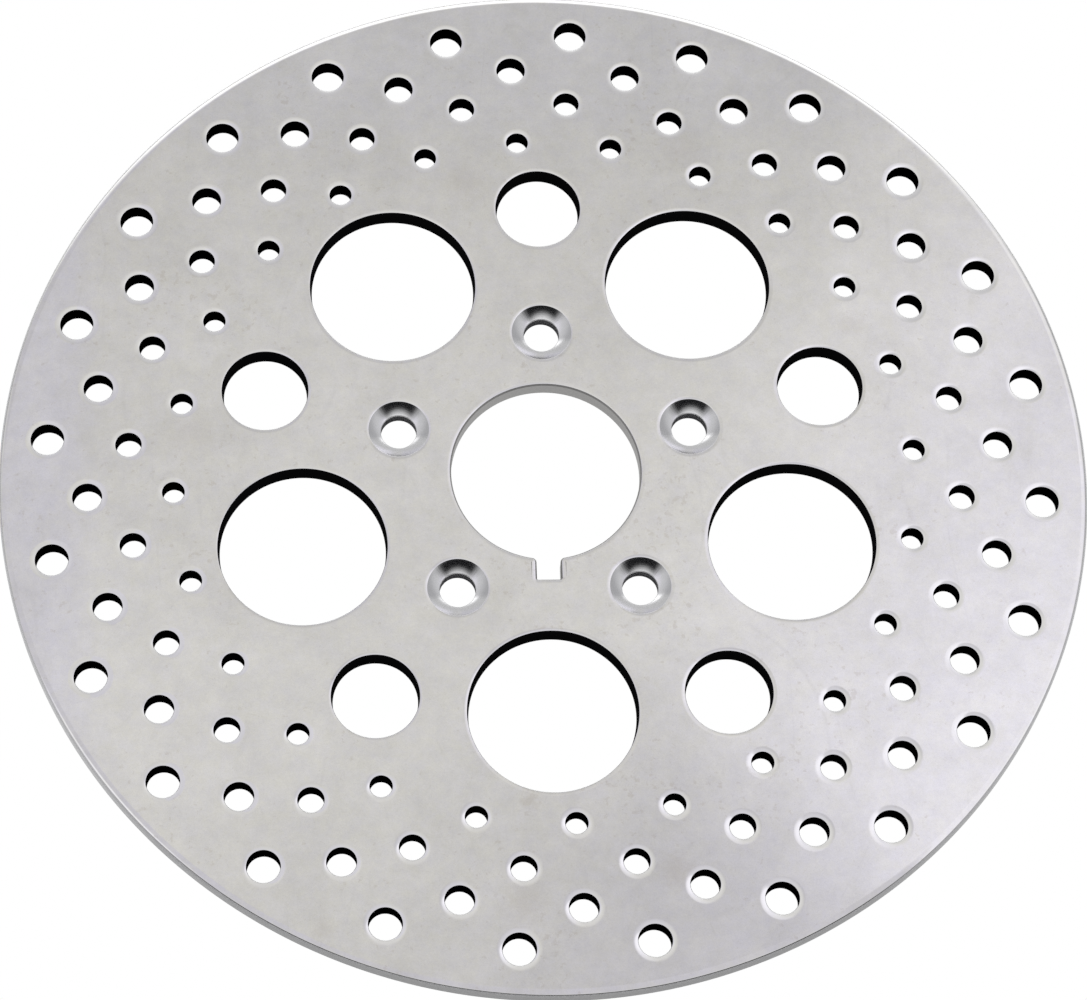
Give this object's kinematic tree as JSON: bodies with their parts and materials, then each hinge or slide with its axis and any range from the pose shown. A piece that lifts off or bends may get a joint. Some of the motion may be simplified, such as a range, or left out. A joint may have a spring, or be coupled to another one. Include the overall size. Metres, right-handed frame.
{
  "type": "brake disc rotor",
  "caption": "Flat one-piece motorcycle brake disc with a keyed centre bore, countersunk bolt holes, round lightening windows and rings of drilled cooling holes.",
  "frame": {"origin": "centre of the bore at the hub-side face, on which the disc lies flat", "axes": "+Z along the wheel axle, out of the countersunk front face; -Y through the middle of the keyway notch; +X to the right as seen from the front"},
  "size_m": [0.2922, 0.2922, 0.0055],
  "materials": {
    "ground_steel": "ground and lightly polished, with dark walls in the cut openings"
  },
  "bodies": {
    "root": {"rotor_disc": "ground_steel"}
  },
  "joints": []
}
